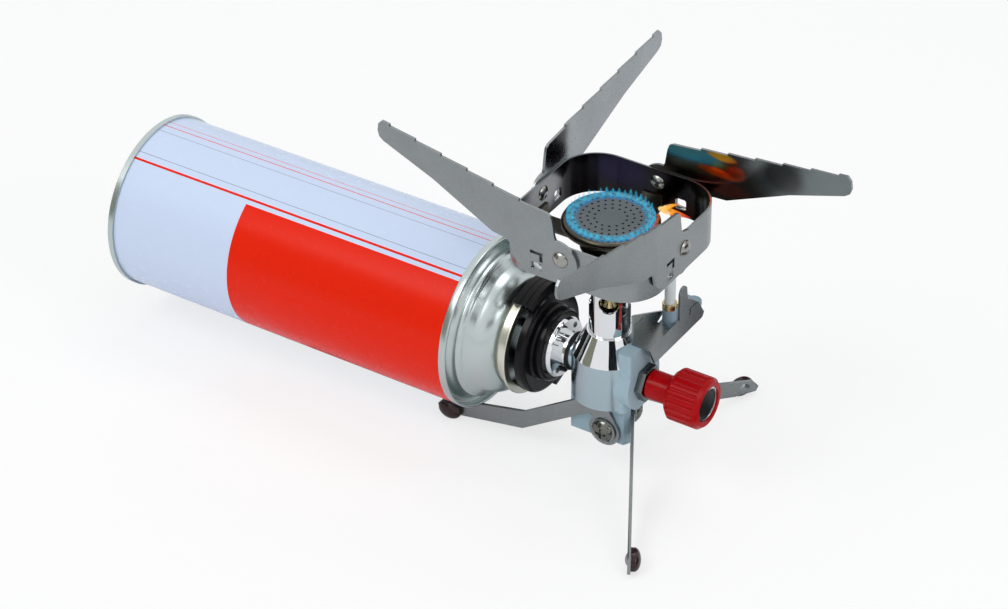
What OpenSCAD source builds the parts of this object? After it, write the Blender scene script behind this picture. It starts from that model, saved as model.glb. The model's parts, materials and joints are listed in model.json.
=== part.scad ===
// Folding single-burner camping stove with a horizontal gas cartridge.
// The vertical burner axis is X = Y = 0, the feet stand on Z = 0, the cartridge lies along -X and
// the regulator knob points along +X. Sizes are in millimetres.

/* [Stand] */
// Height of the leg pivots above the floor
pivot_h = 20.2; // [18:0.1:26]
// Distance of the leg screws sideways from the middle of their faces
pivot_off = 3.7; // [2:0.1:5]
// Distance of the block's three faces from the burner axis
face_n = 8.1; // [7:0.1:9]
// Height of the base block
block_h = 16; // [15:0.1:20]
// Height of the block's top above the leg pivots
block_up = 11.3; // [11:0.1:13]
// Reach of a leg from its pivot to the middle of its foot
leg_reach = 66.5; // [60:0.5:80]
// Reach of a leg from its pivot to its knee
knee_reach = 34.3; // [28:0.1:40]
// Height of the knee's lower corner below the pivot
knee_drop = 13.4; // [12:0.1:14]
// Width of the leg blade at the knee
knee_w = 8; // [6:0.1:8.4]
// Thickness of a leg
leg_t = 1.2; // [0.8:0.1:1.5]
// Radius of the lobe round a leg's screw
lobe_r = 6.3; // [5.5:0.1:7]
// Radius of a foot
foot_r = 3.9; // [3:0.1:4.5]
// Thickness of a foot
foot_t = 5; // [3:0.1:6]
// Radius of a leg screw's shank
screw_r = 2; // [1.5:0.1:2.5]
// Radius of a leg screw's head
screw_head_r = 4; // [3.5:0.1:4.5]
// Height of a leg screw's head
screw_head_h = 2.2; // [1.5:0.1:3]
// Radius of a leg washer
washer_r = 5; // [4.6:0.1:5.5]
// Thickness of a leg washer
washer_t = 0.7; // [0.4:0.1:1]

/* [Valve body] */
// Radius of the valve body
body_r = 13.7; // [13:0.1:15]
// Height of the valve body
body_h = 18; // [17:0.1:20]
// Height of the cartridge axis above the body's underside
inlet_up = 11.5; // [10.5:0.1:12]
// Height of the knob axis above the body's underside
spindle_up = 9.3; // [8.5:0.1:10]
// Height of the conical nut
cone_h = 9.4; // [8:0.1:12]
// Radius of the conical nut at its top
cone_top_r = 8.3; // [8:0.1:9]
// Radius of the cast boss round the spindle
boss_r = 11; // [10:0.1:12]
// Distance of the boss's face from the burner axis
boss_x = 14.5; // [14.3:0.1:16]
// Half width of the boss's square shoulder
shoulder_w = 8; // [6:0.1:9]
// Height of the square shoulder above the spindle axis
shoulder_up = 15.8; // [15:0.1:17]
// Radius of the gas spigot
spigot_r = 5; // [4:0.1:5.5]
// Radius of the gas passages
gas_r = 0.9; // [0.6:0.1:1.1]

/* [Mixer tube and burner] */
// Outer radius of the mixer tube
tube_r = 7.5; // [7:0.1:7.8]
// Wall of the mixer tube
tube_wall = 1; // [0.6:0.1:1.2]
// Visible height of the mixer tube above the conical nut
tube_h = 33.3; // [30:0.5:45]
// Depth of the tube's seat in the conical nut
tube_seat = 6; // [4:0.1:7]
// Radius of an air hole
air_r = 3.75; // [2:0.05:4.5]
// Height of the air holes above the conical nut
air_up = 14.6; // [12:0.1:20]
// Number of air holes
air_count = 4; // [1:1:4]
// Radius of the burner cap
cap_r = 17.3; // [16:0.1:19]
// Rounding of the burner cap's edge
cap_round = 3.5; // [2.5:0.1:4.5]
// Sheet thickness of the burner cap
cap_t = 0.8; // [0.5:0.1:1]
// Radius of a flame port
port_r = 0.45; // [0.3:0.05:0.6]
// Depth of the burner cup below the cap
cup_h = 9.7; // [8:0.1:12]

/* [Ring and pan arms] */
// Half width of the ring over its outer faces
ring_half = 29.7; // [28.5:0.1:33]
// Corner radius of the ring
ring_corner = 15; // [12:0.1:17]
// Sheet thickness of the ring
ring_t = 0.8; // [0.5:0.1:1]
// Height of the ring
ring_h = 18.3; // [16:0.1:21]
// Height of the arm rivets above the ring's lower edge
rivet_up = 13; // [11.5:0.1:13.5]
// Distance of an arm rivet sideways from the middle of its wall
rivet_off = 1.65; // [0:0.05:3]
// Radius of an arm rivet's shank
rivet_r = 1.5; // [1:0.1:2]
// Radius of an arm rivet's head
rivet_head_r = 3.1; // [2.6:0.1:3.5]
// Side of a locking window in the ring
window_w = 4.4; // [3:0.1:4.8]
// Thickness of an arm
arm_t = 1; // [0.8:0.1:1.4]
// Reach of an arm from its rivet to its tip
arm_reach = 77.5; // [74:0.5:84]
// Distance between two teeth of an arm
tooth_pitch = 11.1; // [10:0.1:11.3]
// Height of one tooth's step
tooth_step = 0.8; // [0.4:0.05:1.2]
// Slope of one tooth's top in degrees
tooth_slope = 6.2; // [4:0.1:8]
// Inward turn of an arm beyond its root in degrees
arm_turn = 3.3; // [0:0.1:3.5]
// Width of the straps that carry the ring
strap_w = 8; // [5:0.1:9]
// Height of a strap's upturned end
strap_up = 6; // [4:0.1:7]

/* [Igniter] */
// Outer face of the bracket's front plate
plate_x = 18; // [17.9:0.1:19.5]
// Sheet thickness of the bracket
plate_t = 0.8; // [0.5:0.1:1]
// Width of the bracket's web
web_w = 7.4; // [7:0.1:7.6]
// Length of the front plate beyond the burner axis
plate_y = 36.7; // [34:0.1:40]
// Height of the front plate
plate_h = 8.6; // [8.2:0.1:8.8]
// Distance of the electrode along Y
rod_y = 17.5; // [17:0.1:18]
// Radius of the electrode holder
holder_r = 2.65; // [2.4:0.05:2.8]
// Radius of the ceramic rod
ceramic_r = 1.95; // [1.5:0.05:2.2]
// Radius of the electrode wire
wire_r = 0.6; // [0.4:0.05:0.8]
// Travel of the igniter button
button_travel = 4; // [2:0.1:4.4]

/* [Knob] */
// Radius of the knob's grip
knob_r = 9.8; // [8.5:0.1:11]
// Length of the knob's grip
knob_len = 14; // [11:0.1:16]
// Radius of the knob's neck
neck_r = 5.5; // [4.5:0.1:6]
// Length of the knob's neck
neck_len = 9.5; // [8:0.1:12]
// Number of ribs on the knob
rib_count = 24; // [12:1:30]
// Radius of the spindle
spindle_r = 2.5; // [2:0.1:2.8]
// Distance over the corners of the packing nut
nut_w = 14.4; // [12:0.1:14.4]
// Thickness of the packing nut
nut_t = 3.1; // [2.5:0.1:4]
// Radius of the knob's end badge plate
badge_r = 6.4; // [5:0.1:6.8]

/* [Adapter] */
// Distance of the claw plate's rear face from the burner axis
claw_x = 28; // [27:0.1:30]
// Thickness of the claw plate
claw_t = 3.6; // [3:0.1:4]
// Radius of the claw plate's middle boss
claw_boss_r = 14; // [12.8:0.1:15]
// Height of the middle boss above the plate
claw_boss_h = 3.9; // [3:0.1:4.4]
// Radius of the claw plate's rear face
claw_r = 19.8; // [18:0.1:20]
// Radius of the chrome flange
flange_r = 11.5; // [11:0.1:12.4]
// Thickness of the chrome flange
flange_t = 2.3; // [1.8:0.1:2.8]
// Radius of the adapter's neck
adapter_neck_r = 6.7; // [6:0.1:7]
// Radius of the sealing ring at the body
seal_ring_r = 7.4; // [7:0.1:8]
// Thickness of the sealing ring at the body
seal_ring_t = 1; // [0.8:0.1:1.4]

/* [Cartridge] */
// Radius of the cartridge's body
can_r = 33.4; // [31:0.1:33.4]
// Height of the rear seam above the wall
rear_seam = 0.9; // [0.4:0.05:0.9]
// Height of the front seam above the wall
front_seam = 0.25; // [0.2:0.05:0.5]
// Length of the cartridge between its seams' outer edges
can_len = 154.3; // [120:0.5:160]
// Distance of the cartridge's front seam from the burner axis
can_x = 49; // [48.6:0.05:52]
// Sheet thickness of the cartridge
can_t = 0.3; // [0.2:0.05:0.4]
// Width of a seam
seam_w = 2.6; // [2.2:0.1:3.2]
// Distance of the cartridge's shoulder ring inside its wall
step_in = 4.7; // [4.2:0.1:6]
// Radius of the cartridge's locking flange
lock_r = 22; // [21:0.1:22.2]
// Radius of the cartridge's valve stem
stem_r = 1.65; // [1.2:0.05:1.8]

/* [Hidden] */
$fn = 48;

// Clearances
run_gap = 0.05;    // round running fits
seat_gap = 0.02;   // round fits between fixed pieces
side_gap = 0.1;    // flat faces that slide past each other
free_gap = 0.3;    // pieces that move near each other
eps = 0.01;

// Heights
block_z = pivot_h + block_up - block_h;
body_z = pivot_h + block_up;
cone_z = body_z + body_h;
tube_z = cone_z + cone_h;
inlet_z = body_z + inlet_up;
knob_z = body_z + spindle_up;
boss_top = knob_z + shoulder_up;
ring_z = tube_z + tube_h;
cup_z = ring_z + ring_t;
cap_z = cup_z + cup_h;
cap_top = cap_z + cap_round;
rivet_z = ring_z + rivet_up;
boss_cut = body_z - 1.2;
leg_top = boss_cut - free_gap;
web_z = boss_top;

// Distances along X
nut_x = boss_x;
neck_x = nut_x + nut_t + free_gap;
grip_x = neck_x + neck_len;
knob_end = grip_x + knob_len;
claw_front = -claw_x + claw_t + claw_boss_h;
flange_front = claw_front + flange_t;
seal_x = -body_r - free_gap;
can_far = -can_x - can_len;
deck_x = -can_x + 13.5;
chuck_r = can_r - can_t - 0.9;
step_r = can_r - step_in;
lock_x = -claw_x - 4;

// Leg planes
leg_in = face_n + side_gap;
leg_out = leg_in + leg_t;
washer_in = leg_out + side_gap;
head_in = washer_in + washer_t;

// Arm planes
arm_in = ring_half + side_gap;
arm_out = arm_in + arm_t;
bend_s = 19;

// ---- helpers ----
// Stands children with their z axis along +X at the height h
module along_x(h, x = 0) translate([x, 0, h]) rotate([0, 90, 0]) children();

// Rounded rectangle round the origin
module rrect(w, h, r) {
    square([w - 2 * r, h], center = true);
    square([w, h - 2 * r], center = true);
    for (x = [-1, 1], y = [-1, 1]) translate([x * (w / 2 - r), y * (h / 2 - r)]) circle(r);
}

// Dome of base radius r and height h that stands on z = 0
module dome(r, h) {
    rad = (r * r + h * h) / (2 * h);
    rotate_extrude() intersection() {
        translate([0, h - rad]) circle(rad);
        square([r + 1, h + 1]);
    }
}

// Side view: x outward along the piece, y upward, thickness along its face normal.
// out is the direction in degrees that the piece points to, n0 the inner face's distance.
module side_plate(out, n0, t) rotate([0, 0, out - 180]) translate([0, -n0, 0])
    rotate([90, 0, 0]) mirror([1, 0, 0]) linear_extrude(t) children();

// Round piece along the face normal at the side position [s, z]
module side_round(out, n0, s, z) rotate([0, 0, out - 180]) translate([-s, -n0, z])
    rotate([90, 0, 0]) children();

// ---- stand ----
leg_dirs = [180, 300, 60];

module block_outline(extra = 0) intersection() {
    circle(body_r + extra);
    circle(2 * (face_n + extra), $fn = 3);
}

module base_block() color("lightsteelblue") difference() {
    translate([0, 0, block_z]) rotate([0, 0, 90]) linear_extrude(block_h) block_outline();
    for (d = leg_dirs) side_round(d, 2, -pivot_off, pivot_h)
        cylinder(h = face_n, r = screw_r + seat_gap);
}

// Outline of a leg about its pivot
foot_dz = foot_r - pivot_h;
module leg_outline() {
    top = leg_top - pivot_h;
    slope = 33.2;
    low = [knee_reach + 0.8, -knee_drop];
    high = [knee_reach, knee_w - knee_drop];
    shift = (top - high[1]) / tan(slope);
    difference() {
        union() {
            circle(lobe_r);
            polygon([[-lobe_r * 0.96, 1.8], [-1.6, top], [high[0] - shift, top], high,
                     [leg_reach + 6, 0.9 + foot_dz], [leg_reach + 8, foot_dz - 2.3],
                     [leg_reach + 7.2, foot_dz - 3.3], [leg_reach - 4, foot_dz - 3.3], low,
                     [6.2, low[1] + (low[0] - 6.2) * tan(slope)], [0, 0]]);
        }
        circle(screw_r + run_gap);
    }
}

module leg(i) {
    d = leg_dirs[i];
    s = leg_reach - pivot_off;
    color("silver") {
        side_plate(d, leg_in, leg_t) translate([-pivot_off, pivot_h]) leg_outline();
        side_round(d, leg_in, s, foot_r) mirror([0, 0, 1]) translate([0, 0, -eps])
            dome(2.4, 0.9);
    }
}

module foot(i) color("#3a1418") side_round(leg_dirs[i], leg_out, leg_reach - pivot_off, foot_r) {
    cylinder(h = 1.4, r = foot_r);
    translate([0, 0, 1.4 - eps]) dome(foot_r, foot_t - 1.4);
}

module leg_1() leg(0);
module leg_2() leg(1);
module leg_3() leg(2);
module foot_1() foot(0);
module foot_2() foot(1);
module foot_3() foot(2);

// Pan-head cross-recess screw that stands on z = 0 with its shank below
module pan_screw(head_r, head_h, shank, len) {
    difference() {
        dome(head_r, head_h);
        for (a = [0, 90]) rotate([0, 0, a]) translate([0, 0, head_h])
            cube([head_r * 0.9, head_r * 0.2, head_h], center = true);
    }
    translate([0, 0, -len]) cylinder(h = len + eps, r = shank);
}

module leg_screws() color("gainsboro") for (d = leg_dirs)
    side_round(d, head_in, -pivot_off, pivot_h)
        pan_screw(screw_head_r, screw_head_h, screw_r, head_in - 2.2);

module leg_washers() color("gray") for (d = leg_dirs)
    side_round(d, washer_in, -pivot_off, pivot_h) difference() {
        cylinder(h = washer_t, r = washer_r);
        translate([0, 0, -1]) cylinder(h = washer_t + 2, r = screw_r + seat_gap);
    }

// ---- valve body ----
module valve_body() color("#b5c2cc") difference() {
    union() {
        translate([0, 0, body_z]) cylinder(h = body_h, r = body_r);
        along_x(inlet_z, -claw_x) cylinder(h = claw_x, r = spigot_r);
        along_x(inlet_z, seal_x) cylinder(h = body_r, r = spigot_r + 1.3);
    }
    // inlet seal seat, inlet passage and its way to the needle chamber
    along_x(inlet_z, -claw_x - 1) cylinder(h = 3.6, r = stem_r + 0.95);
    along_x(inlet_z, -claw_x) cylinder(h = claw_x - 5, r = gas_r);
    translate([-5, 0, knob_z - 3.6]) cylinder(h = inlet_z - knob_z + 3.6, r = gas_r);
    along_x(knob_z - 3.6, -5) cylinder(h = 9.5, r = gas_r);
    translate([4, 0, knob_z - 3.6]) cylinder(h = 3.6, r = gas_r);
    // needle chamber, seat and riser to the jet
    along_x(knob_z, 2) cylinder(h = body_r, r = spindle_r + 2 * run_gap);
    along_x(knob_z, body_r - 3.1) cylinder(h = 5, r = seal_bore);
    along_x(knob_z, 0) cylinder(h = 3, r = gas_r * 0.7);
    translate([0, 0, knob_z]) cylinder(h = body_h, r = gas_r * 0.7);
}
seal_bore = spindle_r + 1.55;

module valve_boss() color("#aab9c6") difference() {
    union() {
        along_x(knob_z) cylinder(h = boss_x, r = boss_r);
        translate([body_r - 5, -shoulder_w, knob_z])
            cube([boss_x - body_r + 5, 2 * shoulder_w, shoulder_up]);
        translate([boss_x - 2.4, -shoulder_w + eps, knob_z + 6.5]) rotate([90, 0, 0])
            dome(2.25, 0.7);
    }
    // seats on the body and the conical nut
    translate([0, 0, body_z - 5]) cylinder(h = body_h + 5, r = body_r + seat_gap);
    translate([0, 0, cone_z - eps])
        cylinder(h = cone_h, r1 = body_r + seat_gap, r2 = cone_top_r + seat_gap);
    translate([0, 0, tube_z - 2 * eps]) cylinder(h = 20, r = tube_r + free_gap);
    translate([-1, -50, block_z]) cube([8, 100, 100]);
    translate([-50, -50, boss_cut - 50]) cube([100, 100, 50]);
    along_x(knob_z, body_r - 4) cylinder(h = 10, r = seal_bore);
}

module cone_nut() color("gainsboro") difference() {
    translate([0, 0, cone_z]) cylinder(h = cone_h, r1 = body_r, r2 = cone_top_r);
    translate([0, 0, tube_z - tube_seat]) cylinder(h = tube_seat + 1, r = tube_r + seat_gap);
    translate([0, 0, cone_z - 1]) cylinder(h = cone_h, r = jet_base_r + seat_gap);
}
jet_base_r = 4;

module mixer_tube() color("gainsboro") difference() {
    translate([0, 0, tube_z - tube_seat])
        cylinder(h = tube_seat + tube_h + ring_t + 4.5, r = tube_r);
    translate([0, 0, tube_z - tube_seat - 1])
        cylinder(h = tube_seat + tube_h + ring_t + 8, r = tube_r - tube_wall);
    for (i = [0 : air_count - 1]) rotate([0, 0, 298 + i * 90])
        translate([0, 0, tube_z + air_up]) rotate([0, 90, 0]) cylinder(h = 20, r = air_r);
}

module jet() color("goldenrod") difference() {
    union() {
        translate([0, 0, cone_z]) cylinder(h = cone_h - tube_seat + 1, r = jet_base_r);
        translate([0, 0, cone_z + 2]) cylinder(h = cone_h + 8, r = 2.6);
        translate([0, 0, tube_z + 10 - eps]) cylinder(h = 2.5, r1 = 2.6, r2 = 1);
    }
    translate([0, 0, cone_z - 1]) cylinder(h = cone_h + 8, r = 1.2);
    translate([0, 0, tube_z]) cylinder(h = 20, r = 0.25);
}

// ---- burner ----
// Quarter arc in the profile plane, centre c, radius r, n steps
function arc(c, r, a0, a1, n) = [for (i = [0 : n])
    [c[0] + r * cos(a0 + (a1 - a0) * i / n), c[1] + r * sin(a0 + (a1 - a0) * i / n)]];

// Rings of flame ports: [radius, count]
ports = [[cap_r - 11.5, 14], [cap_r - 9.1, 20], [cap_r - 6.6, 26], [cap_r - 4.4, 32],
         [cap_r - 2.2, 44]];

module burner_cap() color("#8a857c") difference() {
    rotate_extrude() polygon(concat(
        [[0, cap_top - cap_t], [0, cap_top]],
        arc([cap_r - cap_round, cap_z], cap_round, 90, 0, 8),
        [[cap_r - cap_t, cap_z]],
        arc([cap_r - cap_round, cap_z], cap_round - cap_t, 0, 90, 8)));
    for (p = ports, i = [0 : p[1] - 1]) rotate([0, 0, (i + 0.5) * 360 / p[1]])
        translate([p[0], 0, cap_z]) cylinder(h = cap_round + 1, r = port_r, $fn = 16);
}

module burner_cup() color("silver") rotate_extrude() polygon([
    [tube_r + seat_gap, cup_z], [tube_r + 1.2, cup_z], [tube_r + 1.2, cup_z + 2.6],
    [cap_r - 3, cap_z - 3.4], [cap_r - 0.4, cap_z - 1.6], [cap_r + 0.3, cap_z - 0.9],
    [cap_r + 0.3, cap_z], [cap_r - 1.2, cap_z], [cap_r - 3.4, cap_z - 2.6],
    [tube_r + 0.9, cup_z + 4.5], [tube_r + seat_gap, cup_z + 4.5]]);

// ---- ring ----
module ring_spider() color("silver") difference() {
    union() {
        translate([0, 0, ring_z]) cylinder(h = ring_t, r = tube_r + 3.4);
        for (a = [0, 90, 180, 270]) rotate([0, 0, a]) {
            translate([tube_r, -strap_w / 2, ring_z])
                cube([ring_half - ring_t - tube_r, strap_w, ring_t]);
            translate([ring_half - 2 * ring_t, -strap_w / 2, ring_z])
                cube([ring_t, strap_w, strap_up]);
        }
    }
    translate([0, 0, ring_z - 1]) cylinder(h = 5, r = tube_r + seat_gap);
}

wall_dirs = [180, 90, 0, 270];
window_s = rivet_off + 9.7;
window_z = rivet_z - 5.9;

module ring() color("silver") difference() {
    translate([0, 0, ring_z]) linear_extrude(ring_h)
        rrect(2 * ring_half, 2 * ring_half, ring_corner);
    translate([0, 0, ring_z - 1]) linear_extrude(ring_h + 2)
        rrect(2 * (ring_half - ring_t), 2 * (ring_half - ring_t), ring_corner - ring_t);
    for (d = wall_dirs) {
        side_round(d, ring_half - 3, rivet_off, rivet_z)
            cylinder(h = 5, r = rivet_r + seat_gap);
        side_plate(d, ring_half - 3, 5) translate([window_s, window_z])
            rrect(window_w, window_w, 1);
    }
}

module arm_rivets() color("gainsboro") for (d = wall_dirs) {
    side_round(d, arm_out + side_gap, rivet_off, rivet_z) dome(rivet_head_r, 1.5);
    side_round(d, ring_half - ring_t, rivet_off, rivet_z) {
        cylinder(h = ring_t + arm_t + 2 * side_gap + eps, r = rivet_r);
        mirror([0, 0, 1]) dome(rivet_head_r - 0.2, 1.3);
    }
}

// ---- pan arms ----
tooth_s = arm_reach - 60.8;
tooth_z = 18.4;
tooth_rise = tooth_pitch * tan(tooth_slope) + tooth_step;

// Outline about the rivet, x towards the tip
module arm_outline() difference() {
    union() {
        translate([1.2, -0.8]) circle(8);
        translate([1.2, -5.2]) circle(4.5);
        polygon(concat(
            [[0, -9.6], [1.6, 6.5], [2.4, 8.6], [3.3, 14.5], [4, 16.5], [5.6, 17.3]],
            [for (i = [0 : 5], k = [0, 1]) [tooth_s + i * tooth_pitch,
                tooth_z + i * tooth_rise + k * tooth_step]],
            [[arm_reach - 1.9, tooth_z + 5.5 * tooth_rise + 0.2],
             [arm_reach - 0.4, tooth_z + 5.1 * tooth_rise - 0.6], [arm_reach, 25],
             [arm_reach - 0.7, 22.8], [arm_reach - 2.5, 21.5], [53.4, 13.7], [28, 1.8],
             [22.4, 1.2], [20.4, 0], [19.4, -4.9], [17.2, -6.9]]));
    }
    circle(rivet_r + run_gap);
    // slit that frees the spring tab
    translate([9.6, -0.4]) square([5.2, 1.3], center = true);
    translate([7.7, -1.9]) square([1.4, 3.6], center = true);
    translate([9.7, -6.05]) rrect(4.4, 3.3, 0.8);
}

module arm(i) color("darkgray") {
    d = wall_dirs[i];
    side_plate(d, arm_in, arm_t) translate([rivet_off, rivet_z]) intersection() {
        arm_outline();
        translate([-20, -50]) square([20 + bend_s, 100]);
    }
    rotate([0, 0, d - 180])
        translate([-rivet_off - bend_s + arm_t * sin(arm_turn) + eps, -arm_in, 0])
        rotate([0, 0, -arm_turn]) translate([0, 0, rivet_z]) rotate([90, 0, 0])
        mirror([1, 0, 0]) linear_extrude(arm_t) translate([-bend_s, 0]) intersection() {
            arm_outline();
            translate([bend_s, -50]) square([100, 100]);
        }
}

module arm_1() arm(0);
module arm_2() arm(1);
module arm_3() arm(2);
module arm_4() arm(3);

// ---- igniter ----
rod_x = plate_x - 3.5;
far_x = plate_x - web_w;
plate_z = web_z + plate_t - plate_h;
tab_z = web_z + 13.9;
holder_z = web_z + 5.8;
ferrule_h = 2.5;

module igniter_bracket() color("darkgray") {
    // front plate
    translate([plate_x, 0, 0]) rotate([0, -90, 0])
        linear_extrude(plate_t) difference() {
            union() {
                polygon([[plate_z, 1.8], [web_z + plate_t, -2.4], [web_z + plate_t, 18.8],
                         [tab_z - 2.5, 18.8], [tab_z - 2.5, 23.8], [web_z + 7, 24.4],
                         [web_z + 5.8, plate_y - 10.2], [web_z + 0.4, plate_y - 4.1],
                         [web_z - 6, plate_y], [plate_z + 0.2, plate_y - 1],
                         [plate_z, plate_y - 2]]);
                translate([tab_z - 2.5, 21.3]) circle(2.5);
            }
            translate([web_z + 1.2, 26]) square([0.6, 5]);
            translate([web_z - 1.6, 26]) square([3.4, 0.6]);
        }
    // web and far flange
    translate([far_x, -2.4, web_z]) cube([web_w, rod_y - holder_r + 1.2, plate_t]);
    translate([far_x + plate_t, 0, 0]) rotate([0, -90, 0]) linear_extrude(plate_t) difference() {
        polygon([[web_z, -2.4], [web_z + 13, -2.9], [web_z + 12.4, -1], [web_z + 3, 17.9],
                 [web_z + 1.6, 17.6], [web_z, rod_y - holder_r - 1.2]]);
        translate([web_z + 8.2, -1.6]) square([0.6, 5.6]);
    }
}

piezo_x = far_x + plate_t + 0.2;
piezo_w = web_w - 2 * plate_t - 0.2;
piezo_mid = piezo_x + piezo_w / 2;
cave_y = plate_y - 12;

module piezo_body() color("#8fa3b4") difference() {
    union() {
        translate([piezo_x, 8.3, plate_z + 0.6])
            cube([piezo_w, plate_y - 1.2 - 8.3, web_z - plate_z - 0.6]);
        translate([rod_x, rod_y, web_z - 1]) cylinder(h = holder_z - web_z + 1, r = holder_r);
    }
    translate([piezo_x + 0.8, cave_y, plate_z + 1.4])
        cube([piezo_w - 1.6, 20, web_z - plate_z - 2.2]);
    translate([rod_x, rod_y, holder_z - 2]) cylinder(h = 4, r = ceramic_r + seat_gap);
}

module igniter_button() color("#8fa3b4") {
    w = piezo_w - 1.6 - 2 * free_gap;
    h = web_z - plate_z - 2.2 - 2 * free_gap;
    z = plate_z + 1.4 + free_gap;
    y0 = cave_y + button_travel + free_gap;
    translate([piezo_mid - w / 2, y0, z]) cube([w, plate_y + 0.4 - y0, h]);
    translate([piezo_mid, plate_y + 0.4 - eps, z + h / 2]) rotate([-90, 0, 0])
        intersection() {
            dome(h * 0.62, 1.5);
            translate([-w / 2, -h / 2, -1]) cube([w, h, 4]);
        }
}

module ferrule() color("goldenrod") translate([rod_x, rod_y, holder_z]) difference() {
    cylinder(h = ferrule_h, r = holder_r + 0.05);
    translate([0, 0, -1]) cylinder(h = ferrule_h + 2, r = ceramic_r + seat_gap);
}

rod_top = ring_z + 5;
module ceramic_rod() color("white") translate([rod_x, rod_y, holder_z - 2]) difference() {
    cylinder(h = rod_top - holder_z + 2, r = ceramic_r);
    translate([0, 0, -1]) cylinder(h = rod_top - holder_z + 4, r = wire_r + seat_gap);
}

// The wire rises from the rod and leans to the burner's edge
tip_h = cap_top + 0.6;
bend_h = cap_top - 2;
module electrode() color("dimgray") {
    reach = norm([rod_x, rod_y]) - (cap_r + 1.5);
    toward = atan2(-rod_y, -rod_x);
    lean = atan2(reach, tip_h - bend_h);
    translate([rod_x, rod_y, holder_z - 2]) cylinder(h = bend_h - holder_z + 2, r = wire_r);
    translate([rod_x, rod_y, bend_h]) sphere(wire_r);
    translate([rod_x, rod_y, bend_h]) rotate([0, 0, toward]) rotate([0, lean, 0])
        cylinder(h = norm([reach, tip_h - bend_h]), r = wire_r);
}

// ---- knob ----
module packing_nut() color("darkgray") difference() {
    union() {
        along_x(knob_z, nut_x) rotate([0, 0, 30]) cylinder(h = nut_t, d = nut_w, $fn = 6);
        along_x(knob_z, nut_x - 2.2) cylinder(h = 2.2 + eps, r = seal_bore - seat_gap);
    }
    along_x(knob_z, nut_x - 3) cylinder(h = nut_t + 4, r = spindle_r + run_gap);
}

module spindle_seal() color("#202020") along_x(knob_z, body_r - 3.1) difference() {
    cylinder(h = nut_x - 2.2 - (body_r - 3.1), r = seal_bore - seat_gap);
    translate([0, 0, -1]) cylinder(h = 6, r = spindle_r + 2 * run_gap);
}

module spindle() color("goldenrod") {
    along_x(knob_z, 5) cylinder(h = grip_x + 6 - 5, r = spindle_r);
    along_x(knob_z, 2.2) cylinder(h = 2.8 + eps, r1 = 0.5, r2 = spindle_r);
}

module knob() color("#c8101c") difference() {
    union() {
        along_x(knob_z, neck_x) cylinder(h = neck_len + eps, r = neck_r);
        along_x(knob_z, grip_x) cylinder(h = 1.5, r1 = knob_r - 1.5, r2 = knob_r);
        along_x(knob_z, grip_x + 1.5) linear_extrude(knob_len - 3) difference() {
            circle(knob_r);
            for (i = [0 : rib_count - 1]) rotate([0, 0, i * 360 / rib_count])
                translate([knob_r + 0.25, 0]) circle(0.75, $fn = 16);
        }
        along_x(knob_z, knob_end - 1.5) cylinder(h = 1.5, r1 = knob_r, r2 = knob_r - 1.3);
    }
    along_x(knob_z, neck_x - 1)
        cylinder(h = grip_x + 6 - neck_x + 1, r = spindle_r + seat_gap);
    along_x(knob_z, knob_end - 1.3) cylinder(h = 2, r = badge_r + 0.9);
}

module knob_trim() color("silver") along_x(knob_z, knob_end - 1.3) difference() {
    cylinder(h = 0.8, r = badge_r + 0.9 - seat_gap);
    translate([0, 0, -1]) cylinder(h = 3, r = badge_r);
}

module knob_badge() color("#181818") along_x(knob_z, knob_end - 1.3)
    cylinder(h = 0.5, r = badge_r - seat_gap);

// ---- adapter ----
module claw_plate() color("#141414") {
    difference() {
        along_x(inlet_z, -claw_x) rotate_extrude() polygon(concat(
            [[spigot_r + seat_gap, 0], [claw_r, 0]],
            arc([claw_r - 1.6, claw_t - 1.6], 1.6, 0, 90, 5),
            [[claw_boss_r + 0.8, claw_t - 0.2], [claw_boss_r, claw_t + 0.5]],
            arc([claw_boss_r - 1.2, claw_t + claw_boss_h - 1.2], 1.2, 0, 90, 4),
            [[spigot_r + seat_gap, claw_t + claw_boss_h]]));
        screw_holes(claw_front - 4.2, 6);
    }
    // a wide claw on top and a narrow one below hook behind the locking flange
    for (c = [[180, 22], [30, 12]]) along_x(inlet_z) rotate([0, 0, c[0]]) difference() {
        intersection() {
            translate([0, 0, lock_x - 1.6]) difference() {
                cylinder(h = claw_t - 1.6 - claw_x - lock_x + 1.6, r = lock_r + 2.2);
                translate([0, 0, -1]) cylinder(h = 2.6, r = lock_r - 1.5);
                translate([0, 0, 1.3])
                    cylinder(h = -claw_x - lock_x + 0.3, r = lock_r + free_gap + 0.05);
                translate([0, 0, 1.3]) cylinder(h = 40, r = claw_r - 1.5);
            }
            translate([0, 0, -60]) linear_extrude(60)
                polygon([[0, 0], [40, -c[1]], [40, c[1]]]);
        }
        // finger grooves
        for (k = [0, 1]) translate([0, 0, lock_x + 1 + 2.6 * k]) rotate_extrude()
            polygon([[lock_r + 1.9, 0], [lock_r + 3, -0.6], [lock_r + 3, 1.2],
                     [lock_r + 1.9, 0.6]]);
    }
}

module screw_holes(x, len) for (a = [0, 180]) along_x(inlet_z, x) rotate([0, 0, a + 137])
    translate([(flange_r + adapter_neck_r) / 2 - 0.2, 0, 0])
        cylinder(h = len, r = 0.7 + seat_gap);

module adapter_flange() color("gainsboro") difference() {
    union() {
        along_x(inlet_z, claw_front) cylinder(h = flange_t - 0.8, r = flange_r);
        along_x(inlet_z, flange_front - 0.8)
            cylinder(h = 0.8, r1 = flange_r, r2 = flange_r - 0.5);
        along_x(inlet_z, claw_front)
            cylinder(h = seal_x - seal_ring_t - claw_front, r = adapter_neck_r);
    }
    along_x(inlet_z, claw_front - 1) cylinder(h = 20, r = spigot_r + seat_gap);
    screw_holes(claw_front - 1, flange_t + 2);
}

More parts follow.
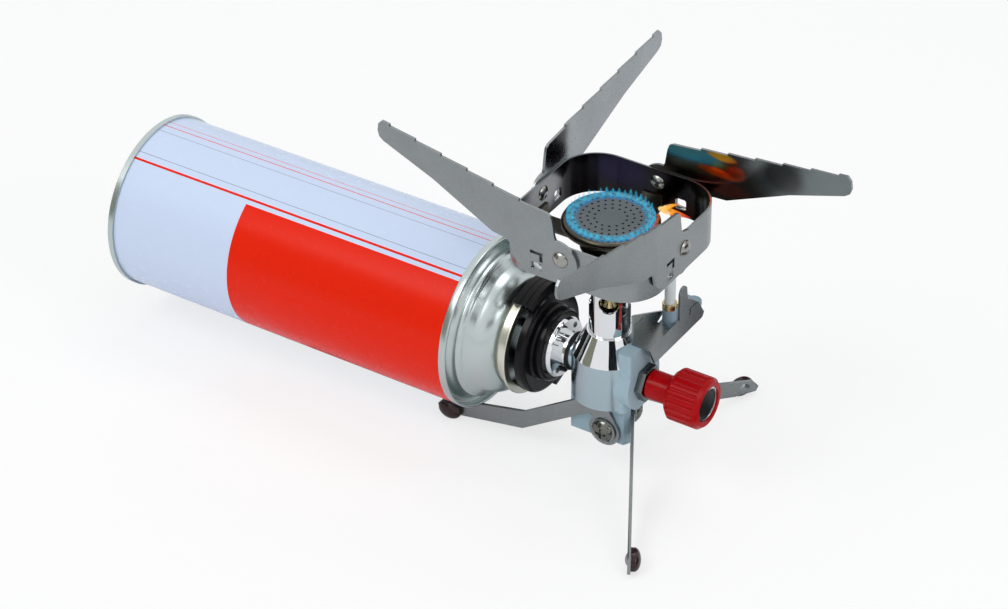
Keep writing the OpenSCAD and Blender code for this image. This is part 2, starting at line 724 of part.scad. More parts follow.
module adapter_screws() color("silver") for (a = [0, 180])
    along_x(inlet_z, flange_front) rotate([0, 0, a + 137])
        translate([(flange_r + adapter_neck_r) / 2 - 0.2, 0, 0])
            pan_screw(1.2, 0.6, 0.7, flange_t + 3.8);

module seal_ring() color("#151515") along_x(inlet_z, seal_x - seal_ring_t) difference() {
    cylinder(h = seal_ring_t, r = seal_ring_r);
    translate([0, 0, -1]) cylinder(h = seal_ring_t + 2, r = spigot_r + seat_gap);
}

module inlet_seal() color("#202020") along_x(inlet_z, -claw_x + 0.2) difference() {
    cylinder(h = 2.4, r = stem_r + 0.95 - seat_gap);
    translate([0, 0, -1]) cylinder(h = 5, r = stem_r + 2 * run_gap);
}

// ---- cartridge ----
module can_shell() color("#e8202a") along_x(inlet_z) difference() {
    translate([0, 0, can_far + 0.85]) cylinder(h = can_len - 1.7, r = can_r);
    translate([0, 0, can_far - 1]) cylinder(h = can_len + 2, r = can_r - can_t);
}

// Half section of a double seam with its outer edge at the height h, dir is 1 or -1
module seam(h, dir, tail, out) translate([0, h]) polygon([
    [can_r + out, -seam_w * dir], [can_r + out, -0.4 * dir], [can_r + out - 0.4, 0],
    [chuck_r + 0.4, 0], [chuck_r, -0.4 * dir], [chuck_r, -tail * dir],
    [can_r - can_t - 0.02, -tail * dir], [can_r - can_t - 0.02, -0.85 * dir],
    [can_r + 0.02, -0.85 * dir], [can_r + 0.02, -seam_w * dir]]);

// Outer face of the front: countersink, shoulder ring, hollow, dome, flat deck
dome_a = [step_r - 3.3, 6.1];
dome_b = [lock_r - 1.8, deck_x + can_x];
function dome_point(a) = [
    dome_b[0] + (dome_a[0] - dome_b[0]) * (cos(a) - cos(72)) / (cos(14) - cos(72)),
    dome_a[1] + (dome_b[1] - dome_a[1]) * (sin(a) - sin(14)) / (sin(72) - sin(14))];
front_face = concat(
    [[step_r + 1.2, -3.2], [step_r + 0.3, -2.9], [step_r, -2.2]],
    arc([step_r - 2.8, 0.9], 2.8, 0, 62, 5),
    [[step_r - 2.1, 4.2], [step_r - 2.7, 5.1]],
    [for (i = [0 : 8]) dome_point(14 + 58 * i / 8)],
    [[lock_r - 5.5, dome_b[1]]]);

module can_top() color("#c9ccd0") along_x(inlet_z) rotate_extrude() {
    seam(-can_x, 1, 3.4, front_seam);
    translate([0, -can_x]) polygon(concat(
        [[chuck_r + 0.5, -3.2]], front_face,
        [for (i = [len(front_face) - 1 : -1 : 0]) front_face[i] - [i < 2 ? 0.1 : 0.3, 0.3]],
        [[chuck_r + 0.5, -3.5]]));
}

module can_base() color("#c9ccd0") along_x(inlet_z) {
    e = chuck_r;
    b = can_r - 13.4;
    rotate_extrude() seam(can_far, -1, 2.4, rear_seam);
    rotate_extrude() polygon([[e + 0.4, can_far + 1.6], [e + 0.4, can_far + 2.2],
        [e - 1, can_far + 3], [b, can_far + 6.4], [0, can_far + 7.6], [0, can_far + 7.2],
        [b, can_far + 6], [e - 1, can_far + 2.6], [e - 0.2, can_far + 1.6]]);
}

module can_collar() color("#d8dad6") difference() {
    along_x(inlet_z) rotate_extrude() polygon([
        [lock_r - 3.4, deck_x + 0.02], [lock_r - 2.2, deck_x + 0.02], [lock_r - 2.2, lock_x],
        [lock_r, lock_x],
        [lock_r, lock_x + 1.1], [lock_r - 2.8, lock_x + 1.1], [lock_r - 2.8, deck_x + 0.6],
        [lock_r - 3.4, deck_x + 0.6]]);
    along_x(inlet_z) translate([lock_r - 1, -3, lock_x - 1]) cube([4, 6, 4]);
}

module can_valve_cup() color("#c9ccd0") along_x(inlet_z) difference() {
    union() {
        translate([0, 0, deck_x]) cylinder(h = 0.6, r = lock_r - 3.45);
        translate([0, 0, deck_x]) cylinder(h = 4.6, r = 7);
        translate([0, 0, deck_x - 7]) cylinder(h = 7 + eps, r = 6);
    }
    translate([0, 0, deck_x - 5.6]) cylinder(h = 5, r = 4);
    translate([0, 0, deck_x - 8]) cylinder(h = 20, r = stem_r + 0.06);
}

module can_stem() color("#e8e6dc") along_x(inlet_z) difference() {
    union() {
        translate([0, 0, deck_x - 5.2]) cylinder(h = -claw_x + 1.2 - deck_x + 5.2, r = stem_r);
        translate([0, 0, deck_x - 2.6]) cylinder(h = 1, r = 3);
    }
    translate([0, 0, deck_x + 1]) cylinder(h = 20, r = 0.6);
}

module can_gasket() color("#202020") along_x(inlet_z, deck_x - 1.6) difference() {
    cylinder(h = 1, r = 4 - seat_gap);
    translate([0, 0, -1]) cylinder(h = 3, r = stem_r + seat_gap);
}

// Coil of the cartridge valve's spring
spring_turns = 3.5;
spring_wire = 0.3;
module can_spring() color("silver") {
    n = 14;
    steps = spring_turns * n;
    rise = 2.44 / steps;
    pts = [for (i = [0 : steps], k = [0 : 5]) let (a = i * 360 / n, b = k * 60,
        r = 3 + spring_wire * cos(b))
        [r * cos(a), r * sin(a), i * rise + spring_wire * sin(b)]];
    last = steps * 6;
    along_x(inlet_z, deck_x - 5.6 + spring_wire + eps) polyhedron(pts, concat(
        [[0, 1, 2, 3, 4, 5]],
        [for (i = [0 : steps - 1], k = [0 : 5]) let (a = i * 6, m = (k + 1) % 6)
            [a + k, a + 6 + k, a + 6 + m, a + m]],
        [[last + 5, last + 4, last + 3, last + 2, last + 1, last]]));
}

can_shell();
can_top();
can_base();
can_collar();
can_valve_cup();
can_stem();
can_gasket();
can_spring();
claw_plate();
adapter_flange();
adapter_screws();
seal_ring();
inlet_seal();
valve_body();
valve_boss();
base_block();
cone_nut();
mixer_tube();
jet();
packing_nut();
spindle_seal();
spindle();
knob();
knob_trim();
knob_badge();
burner_cup();
burner_cap();
ring_spider();
ring();
arm_rivets();
arm_1();
arm_2();
arm_3();
arm_4();
igniter_bracket();
piezo_body();
igniter_button();
ferrule();
ceramic_rod();
electrode();
leg_1();
leg_2();
leg_3();
foot_1();
foot_2();
foot_3();
leg_screws();
leg_washers();
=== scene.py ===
import json
import math
import random

import bmesh
import bpy
from mathutils import Matrix, Vector


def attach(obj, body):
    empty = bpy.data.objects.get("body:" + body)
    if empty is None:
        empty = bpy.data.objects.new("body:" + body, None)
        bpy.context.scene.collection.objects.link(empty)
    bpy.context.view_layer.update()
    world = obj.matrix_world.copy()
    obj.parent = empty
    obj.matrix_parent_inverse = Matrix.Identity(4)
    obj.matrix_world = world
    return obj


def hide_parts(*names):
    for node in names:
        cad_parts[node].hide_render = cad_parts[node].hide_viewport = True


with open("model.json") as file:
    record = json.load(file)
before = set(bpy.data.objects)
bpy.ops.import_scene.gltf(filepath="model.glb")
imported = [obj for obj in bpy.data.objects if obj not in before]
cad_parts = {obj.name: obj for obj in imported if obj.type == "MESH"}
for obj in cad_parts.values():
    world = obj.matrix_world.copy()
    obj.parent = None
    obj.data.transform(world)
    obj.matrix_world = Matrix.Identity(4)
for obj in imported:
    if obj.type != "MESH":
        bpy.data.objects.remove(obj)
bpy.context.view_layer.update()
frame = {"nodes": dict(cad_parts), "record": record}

random.seed(7)

# Lengths are in millimetres and angles in degrees, unless a comment says otherwise
INLET_Z = 43.0        # axis of the cartridge
KNOB_Z = 40.8         # axis of the knob
RING_Z = 92.2         # lower edge of the ring
RING_LIFT = 2.2       # how far that edge is drawn up
CAP_TOP = 106.2

body_of_node = {}
for body, names in frame["record"]["behaviour"]["bodies"].items():
    for name in names:
        body_of_node[name] = body
slot_of_node = {row["node"]: row["material_slot"] for row in frame["record"]["subparts"]}


# ---------------------------------------------------------------- finishes

class Finish:
    """A material while it is being made: its shader, and short ways to add nodes."""

    MIX_INPUTS = (0, 6, 7)       # factor, first colour, second colour
    MIX_RESULT = 2

    def __init__(self, name, **constants):
        self.mat = bpy.data.materials.new(name)
        self.mat.use_nodes = True
        self.tree = self.mat.node_tree
        self.shader = self.tree.nodes["Principled BSDF"]
        for key, value in constants.items():
            self.shader.inputs[key.replace("_", " ")].default_value = value

    def add(self, kind, **settings):
        """A node, with its properties or inputs set by name."""
        node = self.tree.nodes.new(kind)
        for key, value in settings.items():
            if hasattr(node, key):
                setattr(node, key, value)
            else:
                node.inputs[key.replace("_", " ")].default_value = value
        return node

    def join(self, a, out, b, into):
        self.tree.links.new(a.outputs[out], b.inputs[into])

    def feed(self, socket, given):
        """Puts a number, a colour or another node's output into a socket."""
        if isinstance(given, bpy.types.NodeSocket):
            self.tree.links.new(given, socket)
        elif isinstance(given, tuple):
            socket.default_value = (*given, 1)
        else:
            socket.default_value = given

    def noise(self, **settings):
        node = self.add("ShaderNodeTexNoise", **settings)
        self.join(self.add("ShaderNodeTexCoord"), "Object", node, "Vector")
        return node

    def ramp(self, source, stops):
        """A colour ramp fed by a node's first output."""
        node = self.add("ShaderNodeValToRGB")
        bar = node.color_ramp
        while len(bar.elements) < len(stops):
            bar.elements.new(0.5)
        for element, (at, colour) in zip(bar.elements, stops):
            element.position = at
            element.color = (*colour, 1) if len(colour) == 3 else colour
        self.join(source, 0, node, "Fac")
        return node

    def mix(self, *given):
        """The second colour laid over the first one by a factor."""
        node = self.add("ShaderNodeMix", data_type="RGBA")
        for index, value in zip(self.MIX_INPUTS, given):
            self.feed(node.inputs[index], value)
        return node.outputs[self.MIX_RESULT]

    def calc(self, kind, *given):
        node = self.add("ShaderNodeMath", operation=kind)
        for socket, value in zip(node.inputs, given):
            self.feed(socket, value)
        return node.outputs[0]

    def clouded(self, colour, tint, **noise):
        """The colour, drifting a little darker and lighter."""
        dark = tuple(c * (1 - tint) for c in colour)
        light = tuple(min(1, c * (1 + tint)) for c in colour)
        return self.ramp(self.noise(**noise), [(0.3, dark), (0.7, light)]).outputs["Color"]

    def grained(self, low, high, bump, depth=0.0002, span=(0.0, 1.0), **noise):
        """Roughness between two values and a faint relief, both from one fine noise."""
        fine = self.noise(**noise)
        gloss = self.add("ShaderNodeMapRange", From_Min=span[0], From_Max=span[1],
                         To_Min=low, To_Max=high)
        self.join(fine, "Fac", gloss, "Value")
        self.join(gloss, "Result", self.shader, "Roughness")
        relief = self.add("ShaderNodeBump", Strength=bump, Distance=depth)
        self.join(fine, "Fac", relief, "Height")
        self.join(relief, "Normal", self.shader, "Normal")

    def painted_oval(self, tone, centre, radii, colour, strength):
        """A soft oval of another colour over the tone, for painted reflection and painted shade.
        """
        oval = self.add("ShaderNodeMapping", Scale=[1000 / r for r in radii],
                        Location=[-c / r for c, r in zip(centre, radii)])
        self.join(self.add("ShaderNodeTexCoord"), "Object", oval, "Vector")
        fade = self.add("ShaderNodeTexGradient", gradient_type="SPHERICAL")
        self.join(oval, "Vector", fade, "Vector")
        soft = self.add("ShaderNodeMapRange", interpolation_type="SMOOTHSTEP", From_Max=0.55,
                        To_Max=strength)
        self.join(fade, "Fac", soft, "Value")
        return self.mix(soft.outputs["Result"], tone, colour)


def metal(name, colour, rough, spread=0.08, grain=900.0, bump=0.05, tint=0.06, spots=()):
    """Bare or plated metal with faint clouds, and soft ovals of painted reflection and painted
    shade given as (centre, radii, colour, strength).
    """
    finish = Finish(name, Metallic=1.0)
    tone = finish.clouded(colour, tint, Scale=55.0, Detail=4.0, Roughness=0.55)
    for spot in spots:
        tone = finish.painted_oval(tone, *spot)
    finish.feed(finish.shader.inputs["Base Color"], tone)
    finish.grained(max(0.02, rough - spread), rough + spread, bump, span=(0.3, 0.7),
                   Scale=grain, Detail=3.0, Roughness=0.6)
    return finish.mat


def plastic(name, colour, rough, coat=0.0, bump=0.06, tint=0.08, gloss_level=0.5):
    """Moulded plastic, rubber or a dull casting with a faint skin."""
    finish = Finish(name, Specular_IOR_Level=gloss_level, Coat_Weight=coat, Coat_Roughness=0.06)
    finish.feed(finish.shader.inputs["Base Color"],
                finish.clouded(colour, tint, Scale=90.0, Detail=3.0))
    finish.grained(max(0.03, rough - 0.06), rough + 0.06, bump, Scale=700.0, Detail=2.0)
    return finish.mat


SHEET_GRAIN = {"spread": 0.05, "grain": 1500.0, "bump": 0.025}

chrome = metal("chrome_plate", (0.74, 0.76, 0.78), 0.05, spread=0.015, grain=300.0, bump=0.0,
               tint=0.02)
tinplate = metal("spun_tinplate", (0.50, 0.56, 0.56), 0.25, spread=0.004, grain=120.0, bump=0.0,
                 tint=0.01)
collar_metal = metal("collar_tinplate", (0.66, 0.66, 0.57), 0.30, spread=0.03, bump=0.01,
                     tint=0.03)
sheet = metal("satin_sheet", (0.265, 0.285, 0.29), 0.30, tint=0.07, **SHEET_GRAIN)
rivet_steel = metal("rivet_steel", (0.33, 0.33, 0.31), 0.22, spread=0.04, bump=0.02)
nickel = metal("nickel_screws", (0.16, 0.165, 0.145), 0.10, spread=0.03, bump=0.01)
dark_steel = metal("packing_nut_steel", (0.16, 0.17, 0.17), 0.28)
satin_body = metal("satin_plate", (0.40, 0.50, 0.55), 0.20, spread=0.012, bump=0.0, tint=0.012)
brass = metal("machined_brass", (0.62, 0.50, 0.27), 0.25)
cap_steel = metal("heat_dulled_cap", (0.125, 0.145, 0.155), 0.36, spread=0.06, bump=0.04,
                  tint=0.12)
# The cup and the ring's straps under the cap are dark as painted shade; the cap's outer edge takes
# the same finish
cup_steel = metal("dark_cup_painted_shade", (0.075, 0.07, 0.055), 0.32, spread=0.06, bump=0.03, tint=0.15)
wire_steel = metal("dark_wire", (0.10, 0.09, 0.08), 0.40)
boss_cast = plastic("cast_boss", (0.37, 0.50, 0.57), 0.50, tint=0.04, gloss_level=0.3)
# The base block: the boss's casting made darker as painted shade
block_painted_shade = plastic("cast_block_painted_shade", (0.30, 0.42, 0.48), 0.50, tint=0.04, gloss_level=0.3)
black_plastic = plastic("black_plastic", (0.003, 0.003, 0.004), 0.20, bump=0.0,
                        gloss_level=0.16)
black_rubber = plastic("black_rubber", (0.008, 0.008, 0.009), 0.40, gloss_level=0.2)
maroon_rubber = plastic("maroon_rubber", (0.022, 0.006, 0.007), 0.16, bump=0.02,
                        gloss_level=0.4)
red_plastic = plastic("red_plastic", (0.42, 0.002, 0.004), 0.18, bump=0.01, tint=0.05,
                      gloss_level=0.12)
blue_plastic = plastic("blue_grey_plastic", (0.26, 0.36, 0.43), 0.35, bump=0.02, tint=0.04)
stem_plastic = plastic("stem_plastic", (0.80, 0.78, 0.70), 0.40)
glaze = plastic("white_ceramic", (0.70, 0.75, 0.75), 0.18, coat=0.2, bump=0.01, tint=0.03)

# The sheets round the flame: painted dark reflection and shade inside the ring, with a painted
# bright reflection on its left wall; painted reflections on the back arms, blue and straw colours
# from the flame on arm 3
ring_inside_painted_reflection = metal("ring_painted_dark_reflection", (0.018, 0.017, 0.020), 0.20, tint=0.08, spots=(
    ((-14, 30, 106), (15, 8, 9), (0.020, 0.018, 0.042), 0.8),
    # painted bright reflection on the ring's left inner wall
    ((-30, 2, 106), (10, 15, 12), (0.26, 0.27, 0.28), 0.95),
    ((22, 30, 108), (12, 10, 8), (0.040, 0.034, 0.030), 0.9),
    ((8, 30, 98), (14, 10, 5), (0.05, 0.02, 0.012), 0.8)), **SHEET_GRAIN)
# Arm 2's inside: a base lighter than the plain sheet as painted sheen, and a dark oval near the
# root as a painted reflection of its bend
arm_2_painted_sheet = metal("arm_2_painted_reflection", (0.33, 0.355, 0.37), 0.26, tint=0.08, spots=(
    ((-30, 11, 122), (20, 11, 13), (0.030, 0.030, 0.032), 0.95),), **SHEET_GRAIN)
# Arm 3's inside: a darker base and dark ovals as painted dark reflection, and red, blue, straw and
# orange bands as painted reflections of the flame
arm_3_painted_sheet = metal("arm_3_painted_flame_reflection", (0.165, 0.19, 0.19), 0.20, tint=0.08, spots=(
    ((22, 30, 111), (40, 40, 24), (0.034, 0.031, 0.028), 1.0),
    ((52, 30, 125), (11, 40, 9), (0.055, 0.057, 0.058), 0.85),
    ((27, 30, 112.0), (15, 40, 4.5), (0.13, 0.028, 0.018), 0.8),
    ((14, 30, 121.5), (18, 40, 5.0), (0.10, 0.30, 0.32), 0.95),
    ((16, 30, 116.3), (14, 40, 3.2), (0.20, 0.15, 0.09), 0.7),
    ((25.5, 30, 117.2), (10, 40, 2.2), (0.95, 0.13, 0.012), 1.0),
    ((33.0, 30, 119.5), (5, 40, 4.0), (0.30, 0.05, 0.02), 0.8),
    ((27.0, 30, 124.2), (7.5, 40, 2.2), (1.0, 0.42, 0.03), 1.0)), **SHEET_GRAIN)

# The cartridge's print; angles go round its axis from the top towards -Y
PALE_FIELD = (0.64, 0.74, 0.93)
RED = (0.84, 0.018, 0.002)
GREY = (0.25, 0.27, 0.33)
RED_FIELD_BACK = -147.0
RED_FIELD = (34.0, 140.0)
RED_STRIPES = ((29.4, 31.0), (-4.2, -3.5), (-9.5, -9.0), (150.0, 151.6))
GREY_STRIPES = ((24.5, 24.9), (2.6, 3.0))


def printed_lacquer():
    """Gloss lacquer of the cartridge: a pale field, a red field and fine stripes."""
    finish = Finish("printed_lacquer", Specular_IOR_Level=0.12)
    calc = finish.calc
    split = finish.add("ShaderNodeSeparateXYZ")
    finish.join(finish.add("ShaderNodeTexCoord"), "Object", split, "Vector")
    x, y, z = split.outputs
    side = calc("MULTIPLY", y, -1.0)
    up = calc("SUBTRACT", z, INLET_Z / 1000)
    angle = calc("MULTIPLY", calc("ARCTAN2", side, up), 180 / math.pi)

    def band(low, high):
        return calc("MULTIPLY", calc("GREATER_THAN", angle, low), calc("LESS_THAN", angle, high))

    in_front = calc("GREATER_THAN", calc("MULTIPLY", x, 1000.0), RED_FIELD_BACK)
    red = calc("MULTIPLY", in_front, band(*RED_FIELD))
    for stripe in RED_STRIPES:
        red = calc("MAXIMUM", red, band(*stripe))
    grey = calc("MAXIMUM", *(band(*stripe) for stripe in GREY_STRIPES))
    fields = finish.mix(red, PALE_FIELD, RED)
    finish.feed(finish.shader.inputs["Base Color"], finish.mix(grey, fields, GREY))
    finish.grained(0.20, 0.32, 0.03, depth=0.0003, Scale=260.0, Detail=3.0)
    return finish.mat


finish_of_slot = {
    "cartridge_paint": printed_lacquer(), "tinplate": tinplate, "white_plastic": stem_plastic,
    "black_rubber": black_rubber, "spring_steel": sheet, "black_plastic": black_plastic,
    "chrome": chrome, "bright_screws": nickel, "body_metal": satin_body,
    "boss_metal": boss_cast, "brass": brass, "steel_sheet": sheet, "cap_steel": cap_steel,
    "red_plastic": red_plastic, "grey_plastic": blue_plastic, "ceramic": glaze,
    "dark_wire": wire_steel, "dark_rubber": maroon_rubber,
}
finish_of_node = {"packing_nut": dark_steel, "can_collar": collar_metal, "arm_rivets": rivet_steel,
                  "burner_cup": cup_steel, "base_block": block_painted_shade}


def finish_of(node):
    return finish_of_node.get(node) or finish_of_slot[slot_of_node[node]]


def set_finish(obj, mat):
    obj.data.materials.clear()
    obj.data.materials.append(mat)


# ---------------------------------------------------------------- pieces

SHARP = 35            # edges sharper than this are rounded
CREASE = 40           # edges sharper than this keep a crease in the shading


def put_in_scene(name, data):
    obj = bpy.data.objects.new(name, data)
    bpy.context.scene.collection.objects.link(obj)
    return obj


def mesh_object(bm, name, mat):
    """Turns a bmesh in metres into an object of the scene."""
    mesh = bpy.data.meshes.new(name)
    bm.to_mesh(mesh)
    bm.free()
    obj = put_in_scene(name, mesh)
    set_finish(obj, mat)
    return obj


def add_piece(bm, name, body, mat, stands_for=None, crease=CREASE, scale=True):
    """Turns a bmesh into a piece that rides on a body, from millimetres unless scale is off."""
    if scale:
        bmesh.ops.scale(bm, vec=(0.001, 0.001, 0.001), verts=bm.verts)
    for edge in bm.edges:
        edge.smooth = not (edge.is_manifold and edge.calc_face_angle(0) > math.radians(crease))
    for face in bm.faces:
        face.smooth = True
    obj = mesh_object(bm, name, mat)
    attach(obj, body)
    if stands_for:
        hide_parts(stands_for)
    return obj


def even_normals(obj):
    mod = obj.modifiers.new("even_normals", "WEIGHTED_NORMAL")
    mod.keep_sharp = True
    mod.weight = 60


def edges_over(bm, angle):
    return [e for e in bm.edges if e.is_manifold and e.calc_face_angle(0) > math.radians(angle)]


def round_edges(bm, edges, width, segments):
    bmesh.ops.bevel(bm, geom=edges, offset=width, offset_type="OFFSET", segments=segments,
                    profile=0.5, affect="EDGES", clamp_overlap=True, material=-1)


def dress(node, width, mat=None, reshape=None):
    """A copy of the node's solid with its edges rounded and its finish."""
    bm = bmesh.new()
    bm.from_mesh(frame["nodes"][node].data)
    bmesh.ops.remove_doubles(bm, verts=bm.verts, dist=2e-6)
    bmesh.ops.dissolve_limit(bm, angle_limit=math.radians(0.5), use_dissolve_boundaries=False,
                             verts=bm.verts, edges=bm.edges)
    if reshape:
        reshape(bm)
    round_edges(bm, edges_over(bm, SHARP), width / 1000, 2)
    obj = add_piece(bm, node + ".skin", body_of_node[node], mat or finish_of(node), node,
                    scale=False)
    even_normals(obj)
    return obj


for node, obj in frame["nodes"].items():
    set_finish(obj, finish_of(node))

for node, width in (
        ("claw_plate", 0.35), ("adapter_flange", 0.25), ("adapter_screws", 0.08),
        ("seal_ring", 0.3), ("valve_body", 0.3), ("valve_boss", 0.5), ("base_block", 0.4),
        ("cone_nut", 0.15), ("mixer_tube", 0.1), ("packing_nut", 0.25),
        ("arm_rivets", 0.1), ("arm_1", 0.15), ("arm_4", 0.15), ("igniter_bracket", 0.15),
        ("piezo_body", 0.3), ("igniter_button", 0.3), ("ferrule", 0.15), ("ceramic_rod", 0.2),
        ("leg_washers", 0.15), ("can_collar", 0.2)):
    dress(node, width)


# ---------------------------------------------------------------- stand, boss and knob

LEG_ANGLES = (180, 300, 60)
SCREW_BACK = 3.7                  # the screws sit this far behind the middle
PIVOT_Z = 20.2
LEG_PLANE = 9.0                   # about where each leg's sheet lies beside the middle
LEG_START = -6.0                  # a point further back belongs to another leg
FAR_SIDE = 50.0
HEAD_FROM = 10.1                  # the screw heads begin here
HEAD_GROWTH = 1.17
REACH = 66.5 - SCREW_BACK         # the foot's distance along its leg
FOOT_Z = 3.9
FOOT_BASE = 10.8                  # a foot keeps its thickness up to here
FOOT_PRESS = 0.62
FOOT_STRETCH = 1.25
TIP_MOVES = (                     # corners of a leg's end seen from its foot, and where they go
    ((6, 0.9), (3.6, 2.6)), ((8, -2.3), (6.3, -0.6)),
    ((7.2, -3.3), (5.2, -2.6)), ((-4, -3.3), (-4, -2.2)))
TIP_MISS = 0.4
BADGE_FROM = 0.0399               # the knob's end recess lies past this X, in metres
BADGE_R = 7.6
BADGE_SHRINK = 0.93
CHEEKS = (                        # low corner, high corner, radius of the upright corners
    ((1.0, -9.7, 30.4), (12.4, 9.7, 49.6), 2.0),
    ((9.0, -9.3, 41.0), (14.45, 9.3, 56.55), 0.8))
CASTING_MARK = (12.0, -9.25, 47.3)


def beside_leg(v):
    """A point as (leg's angle, out along the leg, off its plane, height), by the nearest leg."""
    x, y, z = v.co * 1000
    found = []
    for angle in LEG_ANGLES:
        a = math.radians(angle - 180)
        along = -(x * math.cos(a) + y * math.sin(a))
        off = x * math.sin(a) - y * math.cos(a)
        miss = abs(off - LEG_PLANE) + (0 if along > LEG_START else FAR_SIDE)
        found.append((miss, angle, along, off))
    nearest = min(found, key=lambda place: place[0])
    return (*nearest[1:], z)


def put_beside_leg(v, angle, along, off, z):
    a = math.radians(angle - 180)
    v.co = Vector((-along * math.cos(a) + off * math.sin(a),
                   -along * math.sin(a) - off * math.cos(a), z)) / 1000


def wider_heads(bm):
    """Spreads the screw heads about their own axes."""
    for v in bm.verts:
        angle, along, off, z = beside_leg(v)
        if off > HEAD_FROM:
            put_beside_leg(v, angle, -SCREW_BACK + (along + SCREW_BACK) * HEAD_GROWTH, off,
                           PIVOT_Z + (z - PIVOT_Z) * HEAD_GROWTH)


def flatter_feet(bm):
    """Presses each foot flat against its leg and draws it out along it."""
    for v in bm.verts:
        angle, along, off, z = beside_leg(v)
        off = min(off, FOOT_BASE + (off - FOOT_BASE) * FOOT_PRESS)
        put_beside_leg(v, angle, REACH + (along - REACH) * FOOT_STRETCH, off, z)


def rounder_tips(bm):
    """Draws the leg's pointed end in round its foot."""
    for v in bm.verts:
        angle, along, off, z = beside_leg(v)
        for (s, h), (to_s, to_h) in TIP_MOVES:
            if abs(along - REACH - s) < TIP_MISS and abs(z - FOOT_Z - h) < TIP_MISS:
                put_beside_leg(v, angle, REACH + to_s, off, FOOT_Z + to_h)
                break


def smaller_badge(bm):
    """Draws the knob's end recess and what sits in it in towards the knob's axis."""
    for v in bm.verts:
        y, z = v.co.y * 1000, v.co.z * 1000 - KNOB_Z
        if v.co.x > BADGE_FROM and math.hypot(y, z) < BADGE_R:
            v.co.y = y * BADGE_SHRINK / 1000
            v.co.z = (KNOB_Z + z * BADGE_SHRINK) / 1000


def boss_cheeks():
    """The square block that the boss's round part grows out of, with its round casting mark."""
    bm = bmesh.new()
    for low, high, corner in CHEEKS:
        made = bmesh.ops.create_cube(bm, size=1.0)["verts"]
        for v in made:
            v.co = Vector([high[i] if v.co[i] > 0 else low[i] for i in range(3)])
        edges = dict.fromkeys(e for v in made for e in v.link_edges)
        upright = [e for e in edges if abs(e.verts[0].co.z - e.verts[1].co.z) > 1
                   and e.verts[0].co.x > 5]
        round_edges(bm, upright, corner, 5)
    round_edges(bm, edges_over(bm, 60), 0.35, 3)
    mark = bmesh.ops.create_uvsphere(bm, u_segments=24, v_segments=12, radius=2.2)["verts"]
    bmesh.ops.scale(bm, vec=(1, 0.3, 1), verts=mark)
    bmesh.ops.translate(bm, vec=CASTING_MARK, verts=mark)
    even_normals(add_piece(bm, "boss_cheeks", "stove", boss_cast))


for number in "123":
    dress("leg_" + number, 0.2, reshape=rounder_tips)
for number in "123":
    dress("foot_" + number, 0.2, reshape=flatter_feet)
dress("leg_screws", 0.12, reshape=wider_heads)
dress("knob", 0.25, reshape=smaller_badge)
dress("knob_trim", 0.1, reshape=smaller_badge)
dress("knob_badge", 0.1, reshape=smaller_badge)
boss_cheeks()


# ---------------------------------------------------------------- cartridge

FRONT_X = -49.0                   # the front seam's top
DOME_R, DOME_WIDTH = 20.2, 5.2
DOME_LOW, DOME_RISE = 6.1, 7.4
DOME_ARC = (14, 72)
DOME_STEPS = 22
SHEET_THICKNESS = 0.0002          # in metres


def point_on(angle):
    return math.cos(math.radians(angle)), math.sin(math.radians(angle))


def arc(centre, radius, start, end, steps):
    turns = [point_on(start + (end - start) * i / steps) for i in range(steps + 1)]
    return [(centre[0] + radius * c, centre[1] + radius * s) for c, s in turns]


def dome_curve():
    """The hollow curve from the shoulder's ring up to the deck, as (radius, height)."""
    first, last = DOME_ARC
    (c0, s0), (c1, s1) = point_on(first), point_on(last)
    curve = []
    for i in range(DOME_STEPS + 1):
        c, s = point_on(first + (last - first) * i / DOME_STEPS)
        curve.append((DOME_R + DOME_WIDTH * (c - c1) / (c0 - c1),
                      DOME_LOW + DOME_RISE * (s - s0) / (s1 - s0)))
    return curve


def spun(points, steps, axis, centre=(0, 0, 0)):
    """A line of points turned once round an axis."""
    bm = bmesh.new()
    line = [bm.verts.new(point) for point in points]
    for a, b in zip(line, line[1:]):
        bm.edges.new((a, b))
    bmesh.ops.spin(bm, geom=bm.verts[:] + bm.edges[:], cent=centre, axis=axis,
                   angle=2 * math.pi, steps=steps, use_merge=True)
    return bm


def cartridge_front():
    """Seam, groove, shoulder and dome, spun as one thin sheet round the cartridge's axis."""
    outline = ([(33.3, -2.95), (33.55, -2.85), (33.65, -2.55), (33.65, -0.5)]
               + arc((33.15, -0.5), 0.5, 10, 90, 5) + arc((33.05, -0.5), 0.5, 90, 180, 5)
               + [(32.5, -1.4), (32.45, -2.6)] + arc((31.9, -2.6), 0.55, 0, -80, 4)
               + [(31.3, -3.15), (30.9, -3.05), (30.45, -2.6), (29.9, -1.85), (29.4, -1.1),
                  (29.0, -0.35), (28.78, 0.3)]
               + arc((25.9, 0.9), 2.8, 0, 62, 12) + [(26.85, 3.95), (26.4, 4.55), (25.9, 5.3)]
               + dome_curve() + [(18.3, 13.5), (16.6, 13.5)])
    bm = spun([(FRONT_X + h, 0, INLET_Z + r) for r, h in outline], 144, (1, 0, 0),
              (0, 0, INLET_Z))
    bmesh.ops.remove_doubles(bm, verts=bm.verts, dist=0.0005)
    bm.normal_update()
    seam = max(bm.faces, key=lambda f: f.calc_center_median().z)
    if seam.normal.z < 0:
        bmesh.ops.reverse_faces(bm, faces=bm.faces)
    obj = add_piece(bm, "cartridge_front", "cartridge", tinplate, "can_top", crease=50)
    wall = obj.modifiers.new("sheet_thickness", "SOLIDIFY")
    wall.thickness = SHEET_THICKNESS
    wall.offset = -1


cartridge_front()


# ---------------------------------------------------------------- burner

